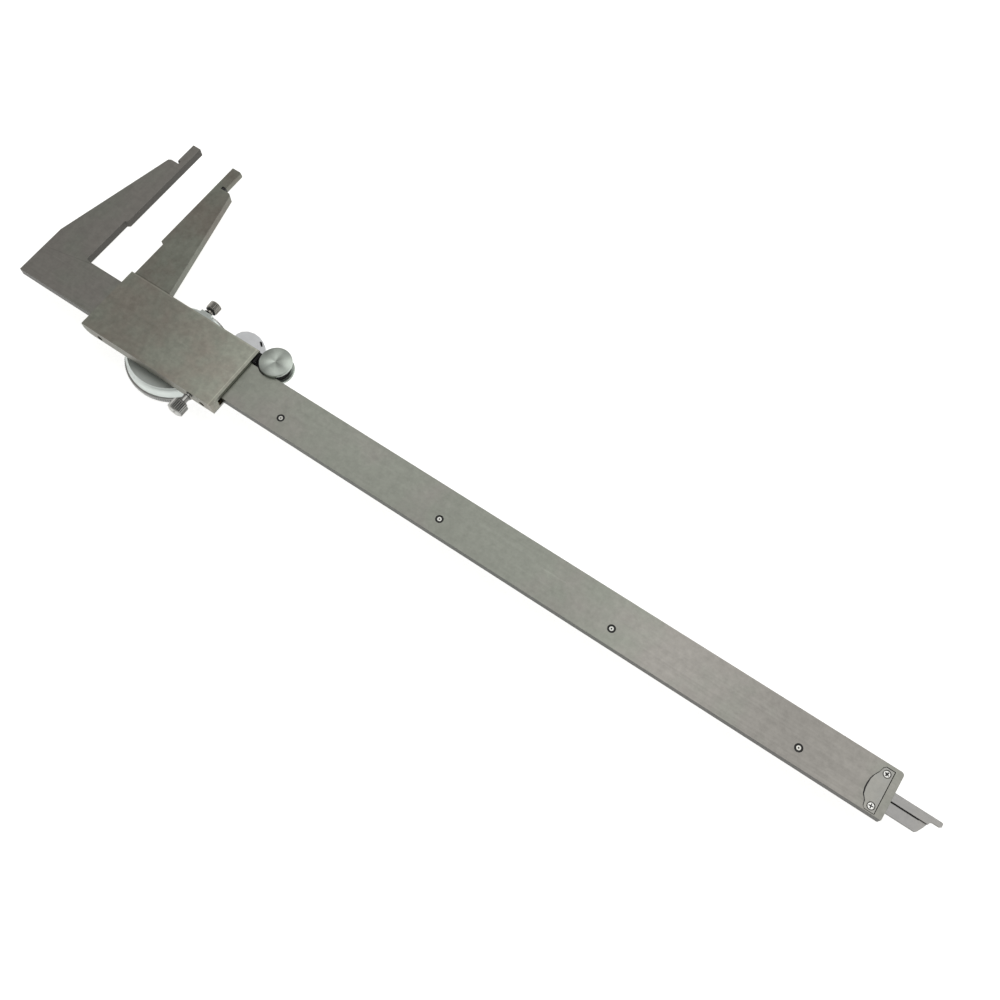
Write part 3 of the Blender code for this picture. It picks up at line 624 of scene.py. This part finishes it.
# A black block paints the shade inside the slot on the nib.
slot_shadow = bar_part((1.9 * mm, 1.45 * mm, 3.6 * mm))
nib_slot = Vector((beam_low.x + 45.4 * mm, beam_low.y + 84.55 * mm, slider_high.z - 4.1 * mm))
slot_shadow.data.transform(Matrix.Translation(nib_slot))
slot_shadow.name = "nib_slot_dirt"
dressed(slot_shadow, "slider", "black_rubber", ink_and_shade_black)
eased("slider_and_sliding_jaw", "slider_body", "slider", "slider_steel", slider_steel, 0.28 * mm)


# Front plate, gib strip and their screws: a ground plate that closes the slider on the dial side,
# a brass strip that takes up play, and slotted steel screws.
plate_steel = ground_steel("front_plate_steel", (0.42, 0.4, 0.37), (0.39, 0.395, 0.375), 0.36)
eased("slider_front_plate", "front_plate", "slider", "satin_steel", plate_steel, 0.12 * mm)


def machined_brass(name, colour, roughness):
    """Brass with a fine machined grain and slightly browned hollows."""
    material, tree, shader = blank_material(name)
    coords = wire(tree, "ShaderNodeTexCoord").outputs["Object"]
    other = tuple(c * 0.6 for c in colour)
    stained(tree, shader, noise(tree, coords, 160.0, 4.0), colour, other, (0.45, 0.75))
    grain = noise(tree, coords, 1400.0, 3.0)
    surfaced(tree, shader, grain, roughness - 0.1, roughness + 0.1, 0.15, 0.01 * mm)
    shader.inputs["Metallic"].default_value = 1.0
    return material


brass = machined_brass("movement_brass", (0.72, 0.55, 0.25), 0.34)
nodes["gib_strip"].data.materials[0] = brass
screw_steel = ground_steel("screw_steel_finish", (0.46, 0.45, 0.42), (0.42, 0.42, 0.41), 0.3,
                           grain=(1200.0, 300.0, 1200.0))
for node in (["plate_screw_%d" % k for k in range(1, 5)] + ["gib_screw_1", "gib_screw_2", "bar_screw",
                                                            "bracket_screw_1", "bracket_screw_2"]):
    nodes[node].data.materials[0] = screw_steel


# Lock screw and bezel clamp screw: turned steel thumbscrews with straight-knurled heads, slightly
# coned ends and thin necks; black bands paint their shade. The clamp screw has a black ring at its foot.
def ridge_part(width, height, length):
    """One straight knurl ridge, pointed towards +X and centred along Z; used up by repeated()."""
    half = width * mm / 2
    section = [(-0.3 * mm, -half), (0.0, -half), (height * mm, 0.0), (0.0, half), (-0.3 * mm, half)]
    ends = (-length * mm / 2, length * mm / 2)
    return skinned("ridge_part", [[(x, y, z) for x, y in section] for z in ends])


def thumbscrew(name, node, body, at, way, profile, band, ridges, neck, material):
    """A thumbscrew along Y: a turned core and knurl ridges, with black bands that paint the shade between the
    ridges, on the neck and at the neck's ends.

    way is 1 for a head towards +Y and -1 for one towards -Y, band the (radius, depth, start, end)
    of the knurl and neck (radius, start, end), in millimetres.
    """
    core = turned_part("core", profile, 40)
    core_radius, depth, start, end = band
    knurl = repeated("knurl", ridge_part(1.15 * math.pi * core_radius / ridges, depth, end - start), ridges,
                     material, (0, 0, (start + end) / 2 * mm), turn=2 * math.pi / ridges,
                     start=(core_radius * mm, 0, 0))
    neck_radius, neck_start, neck_end = neck
    flutes = repeated("flutes", bar_part((0.3 * mm, 1.2 * mm, (neck_end - neck_start) * mm)), 4, ink_and_shade_black,
                      (0, 0, (neck_start + neck_end) / 2 * mm), turn=math.pi / 2,
                      start=((neck_radius - 0.1) * mm, 0, 0))
    neck_shade_turn = math.radians(45 - way * 76.7)
    flutes.data.transform(Matrix.Rotation(neck_shade_turn, 4, "Z"))
    for shade_bar in flutes.data.vertices:
        out = max(math.hypot(shade_bar.co.x, shade_bar.co.y), 0.001 * mm)
        reach = min(out, (neck_radius + 0.05) * mm)
        shade_bar.co.x, shade_bar.co.y = shade_bar.co.x * reach / out, shade_bar.co.y * reach / out
    # Black bands that paint shade: under the knurl ridges, at the neck's foot and at its root.
    valley = turned_part("valley", [(core_radius, start + 0.1), (core_radius + 0.04, start + 0.1),
                                    (core_radius + 0.04, end - 0.1), (core_radius, end - 0.1)], 48)
    foot = turned_part("foot", [(neck_radius, neck_end - 0.25), (neck_radius + 1.1, neck_end - 0.25),
                                (neck_radius + 1.1, neck_end - 0.02), (neck_radius, neck_end - 0.02)], 32)
    turn_out = Matrix.Translation(at) @ Matrix.Rotation(-way * math.pi / 2, 4, "X")
    root = turned_part("root", [(neck_radius, neck_start - 0.3), (neck_radius + 0.3, neck_start - 0.3),
                                (neck_radius + 0.3, neck_start - 0.1), (neck_radius, neck_start - 0.1)], 32)
    shadows = joined(name + "_grooves", flutes, valley, foot, root)
    shadows.data.transform(turn_out)
    dressed(shadows, body, "black_rubber", ink_and_shade_black)
    piece = joined(name, core, knurl)
    piece.data.transform(turn_out)
    return dressed(piece, body, "screw_steel", material, node)


lock_low, lock_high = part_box("lock_screw")
lock_axis = Vector(((lock_low.x + lock_high.x) / 2, slider_low.y, (lock_low.z + lock_high.z) / 2))
lock_steel = turned_steel("lock_screw_steel", (0.47, 0.47, 0.455), lock_axis, 0.33, axis="Y", pull=0.5)
thumbscrew("lock_thumbscrew", "lock_screw", "lock", lock_axis, -1,
           [(0, -3.7), (1.2, -3.7), (1.2, 0.3), (1.0, 0.3), (1.0, 1.2), (1.45, 1.4), (1.45, 4.6), (2.7, 4.6),
            (3.2, 4.85), (3.35, 5.2), (3.35, 9.2), (3.1, 9.6), (2.6, 9.9), (0.8, 9.7), (0.5, 9.3), (0, 9.3)],
           (3.35, 0.33, 5.1, 9.3), 24, (1.45, 1.4, 4.6), lock_steel)
clamp_low, clamp_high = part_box("clamp_screw")
clamp_foot = clamp_high.y - 6.2 * mm
clamp_axis = Vector(((clamp_low.x + clamp_high.x) / 2, clamp_foot, (clamp_low.z + clamp_high.z) / 2))
clamp_steel = turned_steel("clamp_screw_steel", (0.5, 0.48, 0.44), clamp_axis, 0.36, axis="Y", pull=0.5)
thumbscrew("clamp_thumbscrew", "clamp_screw", "clamp", clamp_axis, 1,
           [(0, -2.6), (0.8, -2.6), (0.8, 0.4), (1.4, 0.4), (1.4, 2.0), (2.1, 2.0), (2.4, 2.2), (2.55, 2.5),
            (2.55, 5.7), (2.3, 6.0), (1.9, 6.2), (0.5, 6.05), (0, 6.0)],
           (2.55, 0.22, 2.4, 5.8), 22, (1.4, 0.6, 2.0), clamp_steel)


def dark_rubber(name, colour):
    """Black rubber with a fine pebble and a dusty bloom."""
    material, tree, shader = blank_material(name)
    coords = wire(tree, "ShaderNodeTexCoord").outputs["Object"]
    other = tuple(c + 0.03 for c in colour)
    stained(tree, shader, noise(tree, coords, 300.0, 3.0), colour, other, (0.5, 0.8))
    surfaced(tree, shader, noise(tree, coords, 3000.0, 3.0), 0.55, 0.8, 0.3, 0.02 * mm)
    shader.inputs["Specular IOR Level"].default_value = 0.25
    return material


# This black also paints shade where black pieces stand in for shadows: round the roller's hub, at the
# slider's end and under the roller's rim.
black_rubber = dark_rubber("black_rubber_finish", (0.012, 0.012, 0.013))
# A black ring at the clamp screw's foot.
foot_ring_profile = [(1.5, 0.05), (2.0, 0.05), (2.1, 0.15), (2.1, 0.45), (2.0, 0.55), (1.5, 0.55)]
foot_ring = turned_part("clamp_washer", foot_ring_profile, 32)
foot_ring.data.transform(Matrix.Translation(clamp_axis) @ Matrix.Rotation(-math.pi / 2, 4, "X"))
dressed(foot_ring, "slider", "black_rubber", black_rubber)


# Dial housing: a shallow dish in a light bead-blasted casting, screwed under the slider, with the
# clamp screw's lug on its jaw side.
def light_casting(name, colour, roughness):
    """Pale cast metal with a fine blasted texture."""
    material, tree, shader = blank_material(name)
    coords = wire(tree, "ShaderNodeTexCoord").outputs["Object"]
    other = tuple(c * 0.9 for c in colour)
    stained(tree, shader, noise(tree, coords, 150.0, 3.0), colour, other, (0.35, 0.7))
    blast = noise(tree, coords, 2600.0, 3.0)
    surfaced(tree, shader, blast, roughness - 0.08, roughness + 0.08, 0.2, 0.015 * mm)
    shader.inputs["Metallic"].default_value = 0.75
    return material


casting = light_casting("housing_casting", (0.74, 0.79, 0.765), 0.42)
eased("dial_housing_dish", "dial_housing", "slider", "light_casting", casting, 0.15 * mm)


# Movement: brass bridge, gears and hairspring, steel pinions and arbors, all inside the housing.
for node in ("bridge", "drive_gear", "backlash_gear", "hairspring"):
    nodes[node].data.materials[0] = brass
for node in ("bridge_screw_1", "bridge_screw_2", "rack_pinion", "backlash_arbor", "centre_arbor"):
    nodes[node].data.materials[0] = screw_steel


# Bezel: a turned steel ring that grips the crystal and the dial and turns with them; its rim has a
# fine straight knurl and its back is a bright turned flange.
bezel_middle = middle("bezel")
dial_axis = Vector((bezel_middle.x, bezel_middle.y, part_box("bezel")[1].z))
rim_radius = 22.9
bezel_steel = turned_steel("bezel_turned_steel", (0.5, 0.5, 0.49), dial_axis, 0.3, pull=0.7)
bezel_core = turned_part("bezel_core", [
    (20.9, 0.0), (22.5, 0.0), (22.8, -0.15), (rim_radius, -0.35), (rim_radius, -2.6),
    (22.6, -2.9), (21.95, -4.0), (21.7, -4.1), (19.6, -4.1), (19.3, -4.0), (19.0, -3.6), (19.0, -3.2),
    (20.9, -3.2)], 96)
knurl_count = 140
knurl_ridge = ridge_part(1.1 * math.pi * rim_radius / knurl_count, 0.28, 2.2)
bezel_knurl = repeated("bezel_knurl", knurl_ridge, knurl_count, bezel_steel, (0, 0, -1.45 * mm),
                       turn=2 * math.pi / knurl_count, start=(rim_radius * mm, 0, 0))
bezel_ring = joined("bezel_ring_turned", bezel_core, bezel_knurl)
bezel_ring.data.transform(Matrix.Translation(dial_axis))
dressed(bezel_ring, "bezel_ring", "turned_steel", bezel_steel, "bezel")
# A black band under the knurl ridges paints the shade between them.
rim_shade = turned_part("bezel_rim_grooves", [
    (rim_radius, -2.55), (rim_radius + 0.05, -2.55), (rim_radius + 0.05, -0.4), (rim_radius, -0.4)], 96)
rim_shade.data.transform(Matrix.Translation(dial_axis))
dressed(rim_shade, "bezel_ring", "black_rubber", ink_and_shade_black)


# Dial: a white enamelled disc with a hundred divisions, numbered by tens clockwise as it is read
# from below, a black pointer, and a clear polished crystal over them.
def enamel(name, colour, roughness):
    """Fired enamel: even colour with a faint orange-peel surface."""
    material, tree, shader = blank_material(name)
    peel = noise(tree, wire(tree, "ShaderNodeTexCoord").outputs["Object"], 900.0, 2.0)
    stained(tree, shader, peel, colour, tuple(c * 0.95 for c in colour))
    surfaced(tree, shader, peel, roughness - 0.05, roughness + 0.05, 0.1, 0.01 * mm)
    return material


nodes["dial_face"].data.materials[0] = enamel("dial_enamel", (0.86, 0.86, 0.83), 0.4)
nodes["pointer"].data.materials[0] = enamel("pointer_lacquer", (0.02, 0.02, 0.02), 0.35)
face_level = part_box("dial_face")[0].z
line_radius, number_radius = 18.4, 13.9
dial_rows = []
for row, (every, length, thickness) in enumerate(((1, 1.3, 0.12), (5, 1.9, 0.18), (10, 2.5, 0.26))):
    count = 100 // every
    dial_rows.append(repeated(
        "dial_row_%d" % row, bar_part((length * mm, thickness * mm, ink_depth)), count, ink_and_shade_black,
        (dial_axis.x, dial_axis.y, face_level), turn=2 * math.pi / count,
        start=((line_radius - length / 2) * mm, 0, 0)))
dressed(joined("dial_lines", *dial_rows), "bezel_ring", "pointer_black", ink_and_shade_black)
dial_marks = []
for k in range(10):
    reading = math.radians(-90 + 36 * k)
    across = number_radius * mm * math.cos(reading)
    along = number_radius * mm * math.sin(reading)
    dial_marks.append((str(10 * k), Vector((dial_axis.x + across, dial_axis.y + along, face_level))))
dressed(numerals("dial_numbers", dial_marks, 2.9 * mm, ink_depth), "bezel_ring", "pointer_black", ink_and_shade_black)


def clear_crystal(name):
    """Polished clear plastic with a few faint wipe marks."""
    material, tree, shader = blank_material(name)
    wipes = noise(tree, wire(tree, "ShaderNodeTexCoord").outputs["Object"], 120.0, 4.0)
    tree.links.new(scaled(tree, wipes, 0.01, 0.06), shader.inputs["Roughness"])
    shader.inputs["Base Color"].default_value = (0.97, 0.98, 0.98, 1.0)
    shader.inputs["Transmission Weight"].default_value = 1.0
    shader.inputs["IOR"].default_value = 1.45
    return material


nodes["crystal"].data.materials[0] = clear_crystal("crystal_clear")


# Roller bracket: a pale casting screwed beside the slider; it carries the thumb roller's axle, and
# the black end of its spring looks out of a slot.
bracket_casting = light_casting("bracket_casting", (0.95, 0.97, 1.0), 0.5)
eased("roller_bracket_casting", "roller_bracket", "slider", "light_casting", bracket_casting, 0.35 * mm,
      rounds=3)
spring_outline = [(109.05, 31.25), (109.55, 31.62), (110.05, 31.62), (111.5, 30.3), (111.1, 29.82),
                  (109.7, 31.02)]
spring_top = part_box("roller_bracket")[1].z - 0.02 * mm
spring_end = skinned("roller_spring_end", [
    [(beam_low.x + x * mm, beam_low.y + y * mm, level) for x, y in spring_outline]
    for level in (spring_top, spring_top - 0.5 * mm)])
dressed(spring_end, "slider", "black_rubber", black_rubber)


# Thumb roller: a turned steel spool whose two discs lap over the beam's edge; the discs have finely
# knurled rims, and their flat faces carry a painted sheen in fanned sectors in place of the shine of facing
# cuts.
roller_axis = middle("thumb_roller")
disc_radius = 6.98
spool_origin = Matrix.Translation((roller_axis.x, roller_axis.y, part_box("thumb_roller")[1].z - 1.9 * mm))
roller_steel = turned_steel("roller_turned_steel", (0.59, 0.64, 0.595), roller_axis, 0.45, pull=0.0, painted_fan_sheen=0.17)
spool = turned_part("spool", [
    (0, 1.82), (0.3, 1.82), (0.45, 1.9), (6.7, 1.9), (6.95, 1.78), (disc_radius, 1.6), (disc_radius, 0.6),
    (6.9, 0.4), (6.75, 0.3), (5.4, 0.3), (5.4, -4.3), (6.75, -4.3), (6.9, -4.4), (disc_radius, -4.6),
    (disc_radius, -5.4), (6.9, -5.6), (6.75, -5.7), (1.8, -5.7), (1.8, -0.6), (0, -0.6)], 72)
rim_ridges = 84
ridge_width = 2 * math.pi * disc_radius / rim_ridges
rims = [repeated("rim_knurl_%d" % k, ridge_part(ridge_width, 0.11, length), rim_ridges, roller_steel,
                 (0, 0, height * mm), turn=2 * math.pi / rim_ridges, start=(disc_radius * mm, 0, 0))
        for k, (height, length) in enumerate(((1.1, 1.05), (-5.0, 0.85)))]
roller = joined("thumb_roller_spool", spool, *rims)
roller.data.transform(spool_origin)
dressed(roller, "roller", "turned_steel", roller_steel, "thumb_roller")
# A black sleeve on the hub paints the shade in the gap between the discs.
hub_shade = turned_part("roller_sleeve", [(5.4, -4.28), (5.56, -4.28), (5.56, 0.28), (5.4, 0.28)], 64)
hub_shade.data.transform(spool_origin)
dressed(hub_shade, "roller", "black_rubber", black_rubber)
nodes["roller_axle"].data.materials[0] = screw_steel


# Wiper and leaf spring: a black pad across the slider's end, which also paints the shade on that end, and a
# thin black leaf that curls from it round the roller in the gap above the beam, which paints the shade under
# the roller's rim.
eased("beam_wiper_pad", "rail_wiper", "slider", "black_rubber", black_rubber, 0.12 * mm)
leaf_floor = slider_high.z - 1.93 * mm
leaf_radius, leaf_thickness, leaf_height = 7.25, 0.5, 0.45
leaf_steps, straight_steps = 24, 17
leaf_rings = []
for k in range(leaf_steps + 1):
    bend = math.radians(166 + 96 * k / leaf_steps)
    taper = 1.0 - 0.7 * max(0, k - straight_steps) / (leaf_steps - straight_steps)
    outer = leaf_radius + leaf_thickness * taper
    section = ((leaf_radius, 0.0), (outer, 0.0), (outer, leaf_height), (leaf_radius, leaf_height))
    leaf_rings.append([(roller_axis.x + radius * mm * math.cos(bend),
                        roller_axis.y + radius * mm * math.sin(bend), leaf_floor + lift * mm)
                       for radius, lift in section])
dressed(skinned("leaf_spring", leaf_rings), "slider", "black_rubber", black_rubber)


# Depth bar: a two-level ground steel bar that comes out of the beam's tail as the jaws open, with
# a black strip that paints the shade in the step between its levels, and a stepped tip.
bar_steel = ground_steel("depth_bar_steel", (0.4, 0.392, 0.38), (0.37, 0.366, 0.362), 0.36,
                         grain=(20.0, 1700.0, 1700.0))
eased("depth_bar_blade", "depth_bar", "slider", "satin_steel", bar_steel, 0.08 * mm)
bar_low, bar_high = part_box("depth_bar")
# A black strip that paints the shade in the step.
step_shade = bar_part((14.0 * mm, 0.4 * mm, 0.1 * mm))
bar_step = Vector((bar_high.x - 14.8 * mm, beam_low.y + 8.62 * mm, bar_low.z + 1.72 * mm))
step_shade.data.transform(Matrix.Translation(bar_step))
dressed(step_shade, "slider", "black_rubber", ink_and_shade_black)
step_shade.name = "depth_bar_step_line"
